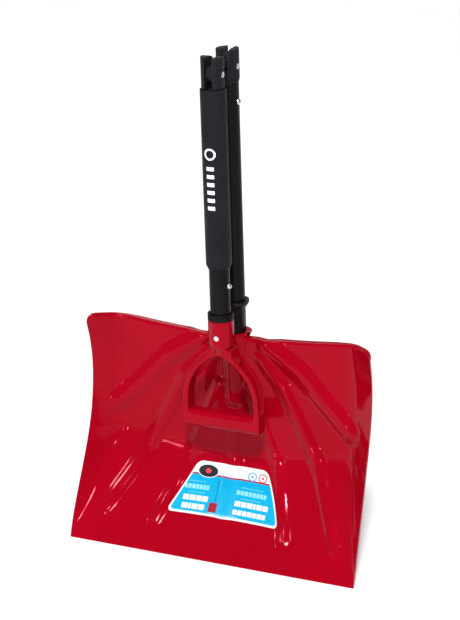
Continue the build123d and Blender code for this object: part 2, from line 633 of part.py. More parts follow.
# ---------------------------------------------------------------- build
def main():
    os.makedirs("parts", exist_ok=True)
    save(make_blade(), "blade")
    save(make_label(), "blade_label")
    save(make_adapter(), "tube_adapter")
    save(make_socket_screw(), "socket_screw")
    pin_hole = (RETAINING_PIN_R + ASSEMBLY, PIVOT_Z - RETAINING_PIN_DROP)
    lower_button_hole = (BUTTON_R + 2 * ASSEMBLY, LOWER_BUTTON_Z)
    upper_button_hole = (BUTTON_R + 2 * ASSEMBLY, UPPER_BUTTON_Z)
    lower_tube = make_tube(LOWER_AXIS_Y, TUBE_SEAT_Z, [lower_button_hole], [pin_hole])
    upper_tube = make_tube(UPPER_AXIS_Y, UPPER_TUBE_BOTTOM_Z, [upper_button_hole], [pin_hole])
    screw_hole = GRIP_SCREW_R + ASSEMBLY
    upper_tube -= cylinder_y(screw_hole, UPPER_AXIS_Y - TUBE_OD, UPPER_AXIS_Y, 0, GRIP_SCREW_Z)
    save(lower_tube, "lower_tube")
    save(upper_tube, "upper_tube")
    ends = (("lower", LOWER_AXIS_Y, -1, LOWER_BUTTON_Z), ("upper", UPPER_AXIS_Y, 1, UPPER_BUTTON_Z))
    for name, y, inner, button_z in ends:
        save(make_knuckle(y, inner), f"{name}_knuckle")
        save(make_rivet(y), f"{name}_pivot_rivet")
        save(make_retaining_pin(y), f"{name}_retaining_pin")
        save(make_button(y, button_z), f"{name}_button")
        save(make_leaf_spring(y, button_z), f"{name}_button_spring")
    save(make_link(), "hinge_link")
    save(make_sleeve(), "lock_sleeve")
    save(make_sleeve_mark(), "sleeve_mark")
    save(make_grip_collar(), "grip_collar")
    save(make_grip(), "d_grip")
    save(make_grip_screw(), "grip_screw")


main()
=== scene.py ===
"""Visual model of a folding snow shovel, standing folded on its blade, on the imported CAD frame."""
import math
import bmesh
import bpy
import numpy as np
from mathutils import Matrix, Vector


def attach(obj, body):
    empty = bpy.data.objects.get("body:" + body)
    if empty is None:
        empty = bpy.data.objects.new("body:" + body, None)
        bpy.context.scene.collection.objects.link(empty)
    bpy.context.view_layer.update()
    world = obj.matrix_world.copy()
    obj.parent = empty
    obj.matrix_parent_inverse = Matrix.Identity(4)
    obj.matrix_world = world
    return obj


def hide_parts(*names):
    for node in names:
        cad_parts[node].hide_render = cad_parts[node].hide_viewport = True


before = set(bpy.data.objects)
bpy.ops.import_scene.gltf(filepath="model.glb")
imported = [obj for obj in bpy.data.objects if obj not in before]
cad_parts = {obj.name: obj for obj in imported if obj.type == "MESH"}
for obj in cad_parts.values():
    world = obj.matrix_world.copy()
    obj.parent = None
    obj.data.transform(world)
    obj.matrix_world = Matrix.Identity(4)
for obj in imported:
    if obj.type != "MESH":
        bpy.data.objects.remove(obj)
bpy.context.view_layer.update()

MM = 0.001

# ---------------------------------------------------------------- camera, mm and degrees
CAMERA_AZIMUTH = 24.83         # to the shovel's right of straight in front
CAMERA_ELEVATION = 20.63
CAMERA_ROLL = 1.83
CAMERA_DISTANCE = 2955.7
CAMERA_TARGET = (-8.6, 122.5, 349.9)
CAMERA_LENS = 78.26            # for the sensor height below
SENSOR_HEIGHT = 24.0

# ---------------------------------------------------------------- studio, metres and degrees
AIM = (0.0, 0.08, 0.15)
KEY_FROM = (0.25, -0.55, 0.8)  # towards the key light
KEY_STRENGTH = 3.4
KEY_ANGLE = 9.0
WORLD_COLOR = (0.97, 0.98, 1.0, 1.0)
WORLD_STRENGTH = 0.24
SPOT_DIRECTIONS = [(-18, 4), (9, 4), (29, 22), (-60, 39), (-10, 60)]  # azimuth and elevation
SPOT_DISTANCE = 3.0
SPOT_SIZE = (0.12, 0.12)
SPOT_POWER = 8.0
BACK_BOX_AT = (-0.6, 2.2, 1.8)
BACK_BOX_SIZE = (1.6, 1.0)
BACK_BOX_POWER = 6.0
FLOOR_HALF = 60000.0           # mm

# ---------------------------------------------------------------- blade, mm
BLADE_WIDTH = 457.0
BLADE_WALL = 3.2
BLADE_TOP_Z = 331.0
LIP_FRONT_Y = -2.5
FLOOR_RISE = 109.0
FLOOR_TOP_Z = 150.0
BACK_LEAN = 0.05
WING_RISE = 91.5
WING_DEEP_Z = 257.0
WING_CURVE = 1.2
WING_TOP_ROLL = 15.0
CREASE_X = 186.0
CREASE_SPREAD = 36.0
CREASE_RADIUS = 12.0
DISH_LOW = 0.58
DISH_HIGH = 0.08
DISH_FADE_Z = (60.0, 170.0)
WAIST = 5.5
WAIST_Z = 190.0
SHOULDER = 2.5
TOP_SAG = 19.0
TOP_CORNER_R = 10.0
RIM_DEPTH = 8.0
RIM_DEPTH_END = 1.5
RIM_INNER_R = 0.8
RIM_FADE_X = (150.0, 205.0)
STEEPEST = 0.5
CENTRE_RIB = ([(0, 188), (0, 28)], 16.0, 2.0)
SIDE_RIBS = [
    ([(24, 236), (48, 178), (72, 118), (104, 34)], 13.0, 5.0),
    ([(44, 284), (78, 243), (105, 190), (126, 150), (150, 104), (186, 42)], 16.0, 6.0),
    ([(52, 304), (105, 271), (158, 216), (184, 190)], 21.0, 6.0),
]
GRID_STEP = 2.0                # spacing of the fine mesh
CORNER_STEPS = 8
BEND_STEPS = 6
RIM_STEPS = 3

# ---------------------------------------------------------------- socket, mm
AXIS_Y = 122.5
SOCKET_R = 18.4
SOCKET_BOTTOM_Z = 196.0
SOCKET_TOP_Z = 319.0
SOCKET_BORE_R = 15.55
SOCKET_LIP_R = 24.0
SOCKET_LIP_Z = 307.0
SOCKET_BLEND = 5.0             # fillet between the socket and the sheet, in front
BALL_STEPS = 14
POLE_R = 0.001                 # a lathed end isn't quite a point
ROOT_SINK = (0.5, 1.5)         # how far the flare starts inside and below its root
ROOT_PROUD = 0.6
# Rounded rims as (radius, height) steps from the socket's and from the flare's top outer edge.
SOCKET_RIM = [(0.0, -0.8), (-0.3, -0.2), (-0.9, 0.0)]
FLARE_RIM = [(-1.2, -2.2), (-0.2, -1.2), (-0.2, -0.4), (-1.0, 0.0)]
FLARE_STEPS = 40
BLADE_BEVEL = (0.9, 50.0, 2)   # width, least angle, segments

# ---------------------------------------------------------------- label, mm
LABEL_TOP_Z = 112.0
LABEL_BOTTOM_Z = 45.0
LABEL_TOP_HALF = 56.0
LABEL_BOTTOM_HALF = 91.0
LABEL_CORNER_R = 8.0
LABEL_BORDER = 2.6
LABEL_BAND_Z = (93.2, 95.2)    # dark line between the white head and the coloured field
LABEL_GAP = 0.03               # clear of the blade behind it
LABEL_PROUD = 0.30
INK = 0.03                     # each print layer over the one below
# Rows of blank word blocks: first x, height of the middle, block height, block widths.
BOLD_ROWS = [
    (-70.0, 63.5, 6.4, (9.0, 9.5, 9.0, 8.5)),
    (-69.0, 53.6, 6.2, (9.5, 4.0, 9.5, 9.5)),
    (13.0, 64.3, 6.2, (9.5, 8.5, 9.0, 4.0, 9.5, 8.5)),
    (13.0, 54.3, 5.6, (7.0, 6.5, 7.0, 7.0, 6.5, 7.0, 6.0)),
]
THIN_ROWS = [
    (-71.0, 77.2, 5.6, (4.6, 4.6, 5.4, 4.4, 4.6, 4.4, 3.8)),
    (12.5, 77.6, 5.4, (5.2, 5.2, 6.2, 5.0, 5.2, 5.2, 4.4, 4.6)),
    (-26.0, 48.9, 0.7, (23.0, 25.0)),
    (-65.0, 84.0, 0.5, (26.0,)),
    (18.0, 84.2, 0.5, (36.0,)),
    (-64.0, 70.3, 0.5, (13.0, 13.0)),
    (20.0, 70.6, 0.5, (16.0, 16.0)),
]
BLOCK_SPACE = 1.1
EMBLEM = (-38.5, 99.2)
EMBLEM_SIZES = [(16.6, 9.2), (15.4, 8.2), (4.6, 3.4)]  # half-width and half-height, outside in
BLUE_RING = (33.0, 100.2)
RED_RING = (50.0, 100.4)
RING_SIZES = [(7.0, 6.0), (5.4, 4.6), (1.9, 1.7)]
SHOVEL_BLADE = (-26.6, -13.4, 49.5, 60.5)  # left, right, low, high
SHOVEL_SHAFT = (-18.6, -17.8, 60.5, 88.0)
SHAFT_LEAN = -0.03
FIELD_STEP = 3.0               # spacing of the rows and columns of the prints
FIELD_COLUMNS = 60
PATCH_STEP = 2.0
SPOT_ROWS = 25
SPOT_COLUMNS = 14
SPOT_END = 0.06                # angle left out at a spot's two poles

# ---------------------------------------------------------------- edges of the carried-over nodes, mm
WELD = 0.002                   # vertices closer than this are one
EDGE_ANGLE = 35.0
EDGES = {
    0.8: ("hinge_link", "lower_knuckle", "upper_knuckle"),
    0.5: ("tube_adapter",),
    0.4: ("grip_collar", "grip_screw", "socket_screw", "lock_sleeve"),
    0.3: ("lower_pivot_rivet", "upper_pivot_rivet", "lower_retaining_pin", "upper_retaining_pin"),
}
GRIP_VOXEL = 0.8
GRIP_SOFTENING = 30            # smoothing steps that round the D-grip's edges


# ---------------------------------------------------------------- blade surface
def smooth_step(t):
    t = np.clip(t, 0.0, 1.0)
    return t * t * (3.0 - 2.0 * t)


def smooth_min(a, b, radius):
    """Smaller of two heights, with a fillet where they cross."""
    share = np.clip(0.5 + 0.5 * (b - a) / radius, 0.0, 1.0)
    return b * (1.0 - share) + a * share - radius * share * (1.0 - share)


def floor_line(z):
    turn = 1.0 - np.maximum(0.0, 1.0 - z / FLOOR_TOP_Z) ** 2
    return LIP_FRONT_Y + FLOOR_RISE * turn + BACK_LEAN * np.maximum(0.0, z - FLOOR_TOP_Z)


def side_edge(z):
    low = np.clip(z, 0.0, WING_DEEP_Z) / WING_DEEP_Z
    high = np.maximum(0.0, (z - WING_DEEP_Z) / (BLADE_TOP_Z - WING_DEEP_Z))
    rise = WING_RISE * np.sin(math.pi / 2 * low ** WING_CURVE)
    return LIP_FRONT_Y + rise - WING_TOP_ROLL * high ** 2


def half_width(z):
    share = np.clip(z / WAIST_Z, 0.0, 2.0)
    flare = SHOULDER * np.maximum(0.0, share - 1.0)
    return BLADE_WIDTH / 2 - WAIST * smooth_step(share) + flare


def crease_ramp(distance):
    rounded = (distance + CREASE_RADIUS) ** 2 / (4 * CREASE_RADIUS)
    ramp = np.where(distance > CREASE_RADIUS, distance, rounded)
    return np.where(distance < -CREASE_RADIUS, 0.0, ramp)


def distance_to_path(x, z, path):
    best = np.full(np.shape(x), np.inf)
    for (xa, za), (xb, zb) in zip(path, path[1:]):
        length_squared = (xb - xa) ** 2 + (zb - za) ** 2
        share = np.clip(((x - xa) * (xb - xa) + (z - za) * (zb - za)) / length_squared, 0, 1)
        gap = np.hypot(x - xa - share * (xb - xa), z - za - share * (zb - za))
        best = np.minimum(best, gap)
    return best


def rib_height(x, z):
    lift = np.zeros(np.shape(x))
    for path, half, height in [CENTRE_RIB] + SIDE_RIBS:
        share = np.clip(distance_to_path(np.abs(x), z, path) / half, 0.0, 1.0)
        lift = np.maximum(lift, height * (1.0 - share ** 2) ** 2)
    return lift


def front_face(x, z):
    """y of the sheet's front face."""
    across = np.abs(x)
    crease = CREASE_X + CREASE_SPREAD * np.maximum(0.0, 1.0 - z / FLOOR_TOP_Z)
    wing = half_width(z) - crease
    fade = smooth_step((z - DISH_FADE_Z[0]) / (DISH_FADE_Z[1] - DISH_FADE_Z[0]))
    dish = DISH_HIGH + (DISH_LOW - DISH_HIGH) * (1.0 - fade)
    left_over = 1.0 - dish * (half_width(z) / crease) ** 2
    slope = left_over / np.maximum(crease_ramp(wing), CREASE_RADIUS / 2)
    forward = dish * (across / crease) ** 2 + slope * crease_ramp(across - crease)
    height = floor_line(z) - side_edge(z)
    return floor_line(z) - height * forward - rib_height(x, z)


def socket_front(x, z):
    """y of the socket's front half where it stands out of the sheet."""
    ball = np.maximum(0.0, SOCKET_BOTTOM_Z + SOCKET_R - z)
    inside = np.maximum(0.0, (SOCKET_R + 0.1) ** 2 - x ** 2 - ball ** 2)
    return AXIS_Y - np.sqrt(inside)


def shown_face(x, z):
    return smooth_min(front_face(x, z), socket_front(x, z), SOCKET_BLEND)


def top_edge(x):
    reach = half_width(np.float64(BLADE_TOP_Z))
    into = np.clip(np.abs(x) - (reach - TOP_CORNER_R), 0.0, TOP_CORNER_R)
    rounding = TOP_CORNER_R - np.sqrt(TOP_CORNER_R ** 2 - into ** 2)
    return BLADE_TOP_Z - TOP_SAG * (1.0 - (x / reach) ** 2) - rounding


def sheet_points(shares, ups, depth):
    """Points on the sheet: one row for each share of the height, at a depth behind the front."""
    across, up = np.meshgrid(shares, ups)
    x = across * half_width(up * BLADE_TOP_Z)
    high = top_edge(across * half_width(np.float64(BLADE_TOP_Z))) - BLADE_WALL - RIM_INNER_R
    z = up * high
    slope_x = (front_face(x + 1, z) - front_face(x - 1, z)) / 2
    slope_z = (front_face(x, z + 1) - front_face(x, z - 1)) / 2
    towards_back = 1.0 / np.sqrt(1.0 + slope_x ** 2 + slope_z ** 2)
    behind = depth / np.maximum(towards_back, STEEPEST)
    y = (shown_face(x, z) if depth == 0.0 else front_face(x, z)) + behind
    return np.stack([x, y, z], axis=-1)


def rim_rows(edge, back, depth):
    """Rows of points over the bend and along the straight part of the top flange."""
    fade = smooth_step((np.abs(edge[:, 0]) - RIM_FADE_X[0]) / (RIM_FADE_X[1] - RIM_FADE_X[0]))
    run = RIM_DEPTH + (RIM_DEPTH_END - RIM_DEPTH) * fade
    radius = RIM_INNER_R + (back[:, 1] - edge[:, 1]) * (1.0 - depth / BLADE_WALL)
    rows = []
    turns = [(step / BEND_STEPS, 0.0) for step in range(1, BEND_STEPS + 1)]
    turns += [(1.0, step / RIM_STEPS) for step in range(1, RIM_STEPS + 1)]
    for turn, straight in turns:
        angle = turn * math.pi / 2
        y = back[:, 1] + RIM_INNER_R - radius * math.cos(angle) + straight * run
        rows.append(np.stack([edge[:, 0], y, edge[:, 2] + radius * math.sin(angle)], axis=-1))
    return np.array(rows)


# ---------------------------------------------------------------- mesh helpers
def new_object(name, verts, faces, smooth=True):
    """Mesh object from points in millimetres."""
    mesh = bpy.data.meshes.new(name)
    mesh.from_pydata([tuple(float(c) * MM for c in v) for v in verts], [], faces)
    mesh.validate()
    mesh.update()
    piece = bpy.data.objects.new(name, mesh)
    bpy.context.scene.collection.objects.link(piece)
    bm = bmesh.new()
    bm.from_mesh(mesh)
    bmesh.ops.recalc_face_normals(bm, faces=bm.faces)
    bm.to_mesh(mesh)
    bm.free()
    if smooth:
        mesh.shade_smooth()
    return piece


def grid_faces(rows, columns, start=0, wrap=False):
    """Quads over a grid of points stored row by row."""
    faces = []
    last = columns if wrap else columns - 1
    for row in range(rows - 1):
        for column in range(last):
            a = start + row * columns + column
            b = start + row * columns + (column + 1) % columns
            faces.append((a, b, b + columns, a + columns))
    return faces


def closed_sheet(front, back):
    """Vertices and faces of a sheet with two sides and a closed border."""
    rows, columns = front.shape[:2]
    verts = np.concatenate([front.reshape(-1, 3), back.reshape(-1, 3)])
    half = rows * columns
    faces = grid_faces(rows, columns)
    faces += [tuple(reversed(face)) for face in grid_faces(rows, columns, half)]
    border = [(row, 0) for row in range(rows)]
    border += [(rows - 1, column) for column in range(1, columns)]
    border += [(row, columns - 1) for row in range(rows - 2, -1, -1)]
    border += [(0, column) for column in range(columns - 2, 0, -1)]
    index = [row * columns + column for row, column in border]
    for a, b in zip(index, index[1:] + index[:1]):
        faces.append((a, b, b + half, a + half))
    return verts, faces


def lathe(profile, centre, steps=72, low=0.0, high=2 * math.pi):
    """Vertices and faces of a closed profile of (radius, z) turned about an upright axis."""
    whole = abs(high - low - 2 * math.pi) < 1e-6
    count = steps if whole else steps + 1
    verts = []
    for radius, z in profile:
        for step in range(count):
            angle = low + (high - low) * step / steps
            out_x, out_y = radius * math.cos(angle), radius * math.sin(angle)
            verts.append((centre[0] + out_x, centre[1] + out_y, z))
    faces = grid_faces(len(profile), count, wrap=whole)
    return verts, faces


def join_parts(parts):
    """One list of vertices and one of faces from several."""
    verts, faces = [], []
    for more_verts, more_faces in parts:
        start = len(verts)
        verts += [tuple(v) for v in more_verts]
        faces += [tuple(index + start for index in face) for face in more_faces]
    return verts, faces


def bevel(piece, width, angle, segments=3):
    """Small rounded edges, as a moulding or a machined part has."""
    modifier = piece.modifiers.new("edges", "BEVEL")
    modifier.width = width * MM
    modifier.segments = segments
    modifier.limit_method = "ANGLE"
    modifier.angle_limit = math.radians(angle)
    modifier.use_clamp_overlap = True
    modifier.harden_normals = True
    return modifier


# ---------------------------------------------------------------- materials
class Shader:
    """A node material built step by step. Lengths in its textures are metres."""

    def __init__(self, name):
        self.material = bpy.data.materials.new(name)
        self.material.use_nodes = True
        self.tree = self.material.node_tree
        self.tree.nodes.clear()
        self.output = self.tree.nodes.new("ShaderNodeOutputMaterial")
        self.surface = self.tree.nodes.new("ShaderNodeBsdfPrincipled")
        self.tree.links.new(self.surface.outputs[0], self.output.inputs[0])
        self.place = self.tree.nodes.new("ShaderNodeTexCoord").outputs["Object"]

    def link(self, source, node, socket):
        target = node.inputs[socket]
        if hasattr(source, "is_output"):
            self.tree.links.new(source, target)
        else:
            target.default_value = source

    def noise(self, scale, detail=3.0, roughness=0.5, stretch=None):
        node = self.tree.nodes.new("ShaderNodeTexNoise")
        node.inputs["Scale"].default_value = scale
        node.inputs["Detail"].default_value = detail
        node.inputs["Roughness"].default_value = roughness
        self.tree.links.new(self.stretched(stretch), node.inputs["Vector"])
        return node.outputs[0]

    def stretched(self, stretch):
        if stretch is None:
            return self.place
        node = self.tree.nodes.new("ShaderNodeMapping")
        node.inputs["Scale"].default_value = stretch
        self.tree.links.new(self.place, node.inputs["Vector"])
        return node.outputs[0]

    def cells(self, scale, stretch):
        node = self.tree.nodes.new("ShaderNodeTexVoronoi")
        node.feature = "DISTANCE_TO_EDGE"
        node.inputs["Scale"].default_value = scale
        self.tree.links.new(self.stretched(stretch), node.inputs["Vector"])
        return node.outputs[0]

    def spread(self, value, low, high, to_low=0.0, to_high=1.0):
        node = self.tree.nodes.new("ShaderNodeMapRange")
        node.clamp = True
        self.link(value, node, 0)
        for index, number in enumerate((low, high, to_low, to_high), start=1):
            node.inputs[index].default_value = number
        return node.outputs[0]

    def maths(self, operation, a, b=0.0):
        node = self.tree.nodes.new("ShaderNodeMath")
        node.operation = operation
        self.link(a, node, 0)
        self.link(b, node, 1)
        return node.outputs[0]

    def mix(self, share, a, b):
        node = self.tree.nodes.new("ShaderNodeMix")
        node.data_type = "RGBA"
        self.link(share, node, 0)
        self.link(a if hasattr(a, "is_output") else (*a, 1.0), node, 6)
        self.link(b if hasattr(b, "is_output") else (*b, 1.0), node, 7)
        return node.outputs[2]

    def worn_edges(self, low=0.52, high=0.60):
        """Rises on convex edges of a dense mesh."""
        node = self.tree.nodes.new("ShaderNodeNewGeometry")
        return self.spread(node.outputs["Pointiness"], low, high)

    def bump(self, height, strength, distance, under=None):
        node = self.tree.nodes.new("ShaderNodeBump")
        node.inputs["Strength"].default_value = strength
        node.inputs["Distance"].default_value = distance * MM
        self.link(height, node, "Height")
        if under is not None:
            self.tree.links.new(under, node.inputs["Normal"])
        return node.outputs[0]

    def finish(self, color, roughness, normal=None, metallic=0.0, specular=0.5):
        self.link(color, self.surface, "Base Color")
        self.link(roughness, self.surface, "Roughness")
        if normal is not None:
            self.tree.links.new(normal, self.surface.inputs["Normal"])
        self.surface.inputs["Metallic"].default_value = metallic
        self.surface.inputs["Specular IOR Level"].default_value = specular
        return self.material


def red_plastic(name, flow):
    """Glossy moulded polypropylene: slow colour drift, flow marks, fine scratches, soft ripple."""
    s = Shader(name)
    drift = s.spread(s.noise(6.0, 2.0), 0.35, 0.65)
    color = s.mix(drift, (0.270, 0.0002, 0.0072), (0.305, 0.0003, 0.0098))
    streaks = s.spread(s.noise(14.0, 4.0, 0.6, flow), 0.45, 0.75)
    color = s.mix(s.maths("MULTIPLY", streaks, 0.25), color, (0.24, 0.0002, 0.0060))
    color = s.mix(s.maths("MULTIPLY", s.worn_edges(), 0.30), color, (0.46, 0.010, 0.02))
    scratch = s.spread(s.cells(60.0, (1.0, 1.0, 0.12)), 0.0, 0.02, 1.0, 0.0)
    patches = s.spread(s.noise(25.0, 3.0), 0.5, 0.7)
    scratch = s.maths("MULTIPLY", scratch, patches)
    base = s.spread(s.noise(18.0, 5.0), 0.3, 0.7, 0.04, 0.09)
    roughness = s.maths("ADD", base, s.maths("MULTIPLY", scratch, 0.15))
    ripple = s.bump(s.noise(38.0, 1.5), 0.20, 0.12)
    fine = s.bump(s.noise(900.0, 2.0), 0.06, 0.03, ripple)
    s.surface.inputs["Specular Tint"].default_value = (1.0, 0.22, 0.28, 1.0)
    return s.finish(color, roughness, fine, specular=0.30)


def printed_film(name, color, faded):
    """Printed film: ink with slight banding, rubbed in places."""
    s = Shader(name)
    bands = s.spread(s.noise(30.0, 3.0, 0.5, (0.2, 1.0, 1.0)), 0.35, 0.65)
    shade = s.mix(s.maths("MULTIPLY", bands, 0.35), color, faded)
    rubbed = s.spread(s.noise(140.0, 4.0, 0.6), 0.62, 0.78)
    shade = s.mix(s.maths("MULTIPLY", rubbed, 0.25), shade, faded)
    rough = s.spread(s.noise(80.0, 3.0), 0.3, 0.7, 0.22, 0.36)
    return s.finish(shade, rough, s.bump(s.noise(260.0, 2.0), 0.15, 0.03), specular=0.2)


def matte_plastic(name, color, worn, roughness=(0.42, 0.58), grain=1400.0, depth=0.05, gloss=0.06):
    """Fine-grained moulded plastic with slightly rubbed patches and edges."""
    s = Shader(name)
    dark = tuple(c * 0.82 for c in color)
    drift = s.spread(s.noise(22.0, 4.0), 0.35, 0.65)
    shade = s.mix(drift, dark, color)
    shade = s.mix(s.maths("MULTIPLY", s.worn_edges(), 0.5), shade, worn)
    rubbed = s.spread(s.noise(35.0, 5.0, 0.6, (1.0, 1.0, 0.35)), 0.55, 0.75)
    shade = s.mix(s.maths("MULTIPLY", rubbed, 0.18), shade, worn)
    low, high = roughness
    rough = s.spread(s.noise(60.0, 5.0), 0.3, 0.7, low, high)
    soft = s.bump(s.noise(grain, 2.0, 0.6), 0.5, depth)
    return s.finish(shade, rough, soft, specular=gloss)


def painted_tube(name):
    """Black gloss paint on drawn steel: faint lengthwise draw marks, small chips and rubbed gloss."""
    s = Shader(name)
    drift = s.spread(s.noise(30.0, 4.0, 0.5, (1.0, 1.0, 0.25)), 0.35, 0.65)
    color = s.mix(drift, (0.0035, 0.0033, 0.0032), (0.0055, 0.0052, 0.0050))
    chips = s.spread(s.noise(420.0, 2.0, 0.5), 0.76, 0.80)
    color = s.mix(s.maths("MULTIPLY", chips, 0.7), color, (0.10, 0.10, 0.10))
    rough = s.spread(s.noise(50.0, 4.0, 0.6, (1.0, 1.0, 0.08)), 0.3, 0.7, 0.20, 0.34)
    lines = s.bump(s.noise(160.0, 3.0, 0.6, (1.0, 1.0, 0.02)), 0.18, 0.05)
    peel = s.bump(s.noise(700.0, 2.0), 0.12, 0.03, lines)
    return s.finish(color, rough, peel, specular=0.08)


def bright_steel(name, turned):
    """Plated steel with fine turning or rolling marks and dull spots."""
    s = Shader(name)
    spots = s.spread(s.noise(300.0, 4.0), 0.45, 0.7)
    color = s.mix(spots, (0.66, 0.66, 0.67), (0.50, 0.50, 0.51))
    rough = s.spread(s.noise(400.0, 3.0), 0.3, 0.7, 0.18, 0.34)
    lines = s.bump(s.noise(900.0, 2.0, 0.5, turned), 0.25, 0.02)
    return s.finish(color, rough, lines, metallic=1.0)


def white_print(name):
    """Pad-printed ink: off-white, slightly uneven, thin at spots."""
    s = Shader(name)
    thin = s.spread(s.noise(500.0, 4.0), 0.55, 0.8)
    color = s.mix(s.maths("MULTIPLY", thin, 0.4), (0.84, 0.84, 0.83), (0.45, 0.45, 0.46))
    rough = s.spread(s.noise(200.0, 3.0), 0.3, 0.7, 0.35, 0.5)
    return s.finish(color, rough, s.bump(s.noise(900.0, 2.0), 0.2, 0.02))


# ---------------------------------------------------------------- blade
def blade_columns():
    """Shares of the half-width: even steps, closer at the rounded corners."""
    reach = float(half_width(np.float64(BLADE_TOP_Z)))
    flat = reach - TOP_CORNER_R
    steps = int(flat / GRID_STEP)
    places = [flat * step / steps for step in range(steps + 1)]
    turn = math.pi / 2 / CORNER_STEPS
    places += [flat + TOP_CORNER_R * math.sin(turn * step) for step in range(1, CORNER_STEPS + 1)]
    right = [place / reach for place in places]
    return np.array([-share for share in reversed(right[1:])] + right)


def make_socket():
    """Closed tube with a half ball below, lathed about the lower tube's axis."""
    ball = [(SOCKET_R * math.sin(t), SOCKET_BOTTOM_Z + SOCKET_R * (1 - math.cos(t)))
            for t in np.linspace(0.0, math.pi / 2, BALL_STEPS)]
    ball[0] = (POLE_R, SOCKET_BOTTOM_Z)
    well = SOCKET_BOTTOM_Z + SOCKET_R
    profile = ball + [(SOCKET_R, SOCKET_LIP_Z)]
    profile += [(SOCKET_R + out, SOCKET_TOP_Z + up) for out, up in SOCKET_RIM]
    profile += [(SOCKET_BORE_R, SOCKET_TOP_Z), (SOCKET_BORE_R, well), (POLE_R, well)]
    return lathe(profile, (0.0, AXIS_Y))


def make_flare():
    """The lip round the back half of the socket's mouth, open at its two ends."""
    sink_in, sink_down = ROOT_SINK
    root = (SOCKET_R - sink_in, SOCKET_LIP_Z - sink_down)
    profile = [root, (SOCKET_R + ROOT_PROUD, SOCKET_LIP_Z)]
    profile += [(SOCKET_LIP_R + out, SOCKET_TOP_Z + up) for out, up in FLARE_RIM]
    profile += [(SOCKET_R - sink_in, SOCKET_TOP_Z), root]
    return lathe(profile, (0.0, AXIS_Y), FLARE_STEPS, 0.0, math.pi)


def make_blade():
    shares = blade_columns()
    ups = np.linspace(0.0, 1.0, int(BLADE_TOP_Z / GRID_STEP) + 1)
    front = sheet_points(shares, ups, 0.0)
    back = sheet_points(shares, ups, BLADE_WALL)
    edge, behind = front[-1], back[-1]
    plain = sheet_points(shares, ups[-1:], 0.0)[0]
    front = np.concatenate([front, rim_rows(edge, behind, 0.0)])
    back = np.concatenate([back, rim_rows(plain, behind, BLADE_WALL)])
    sheet = closed_sheet(front, back)
    piece = new_object("blade_moulding", *join_parts([sheet, make_socket(), make_flare()]))
    bevel(piece, *BLADE_BEVEL)
    piece.data.materials.append(red_plastic("blade_red_gloss", (1.0, 1.0, 0.15)))
    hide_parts("blade")
    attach(piece, "blade_section")


# ---------------------------------------------------------------- label
def label_half(z, inset=0.0):
    """Half-width of the label's rounded trapezoid at a height."""
    up = (z - LABEL_BOTTOM_Z) / (LABEL_TOP_Z - LABEL_BOTTOM_Z)
    half = LABEL_BOTTOM_HALF + (LABEL_TOP_HALF - LABEL_BOTTOM_HALF) * up - inset
    radius = LABEL_CORNER_R - inset
    near = min(z - LABEL_BOTTOM_Z - inset, LABEL_TOP_Z - inset - z)
    into = min(max(radius - near, 0.0), radius)
    return half - radius + math.sqrt(max(radius ** 2 - into ** 2, 0.0))


def film(heights, left, right, layer, columns=2):
    """Thin closed film that follows the blade between two sides given at each height."""
    shares = np.linspace(0.0, 1.0, columns)
    x = np.array([left(z) + (right(z) - left(z)) * shares for z in heights])
    z = np.repeat(np.array(heights)[:, None], columns, axis=1)
    surface = front_face(x, z)
    front = np.stack([x, surface - LABEL_PROUD - layer * INK, z], axis=-1)
    back = np.stack([x, surface - (LABEL_GAP if layer == 0 else LABEL_PROUD), z], axis=-1)
    return closed_sheet(front, back)


def field(low, high, inset, layer):
    """Part of the label between two heights, inset from its outline."""
    ends = np.linspace(0.0, 1.0, 9) ** 2 * LABEL_CORNER_R
    places = [*(low + ends), *(high - ends), *np.arange(low, high, FIELD_STEP)]
    heights = sorted({round(float(z), 4) for z in places if low <= z <= high})
    sides = (lambda z: -label_half(z, inset), lambda z: label_half(z, inset))
    return film(heights, *sides, layer, FIELD_COLUMNS)


def patch(left, right, low, high, layer, lean=0.0):
    """Four-sided print, leaning in by a share at the top."""
    heights = np.linspace(low, high, int((high - low) / PATCH_STEP) + 2)
    columns = int((right - left) / FIELD_STEP) + 2
    sides = (lambda z: left + lean * (z - low), lambda z: right + lean * (z - low))
    return film(heights, *sides, layer, columns)


def spot(centre, size, layer):
    """Round or oval print."""
    x, z = centre
    across, up = size

    def half(at):
        return across * math.sqrt(max(1.0 - ((at - z) / up) ** 2, 0.0))

    heights = [z - up * math.cos(angle) for angle in np.linspace(SPOT_END, math.pi - SPOT_END, SPOT_ROWS)]
    return film(heights, lambda at: x - half(at), lambda at: x + half(at), layer, SPOT_COLUMNS)


def word_blocks(row, layer):
    """Row of blank blocks in place of a line of words."""
    left, middle, height, widths = row
    low, high = middle - height / 2, middle + height / 2
    blocks = []
    for width in widths:
        blocks.append(patch(left, left + width, low, high, layer))
        left += width + BLOCK_SPACE
    return blocks


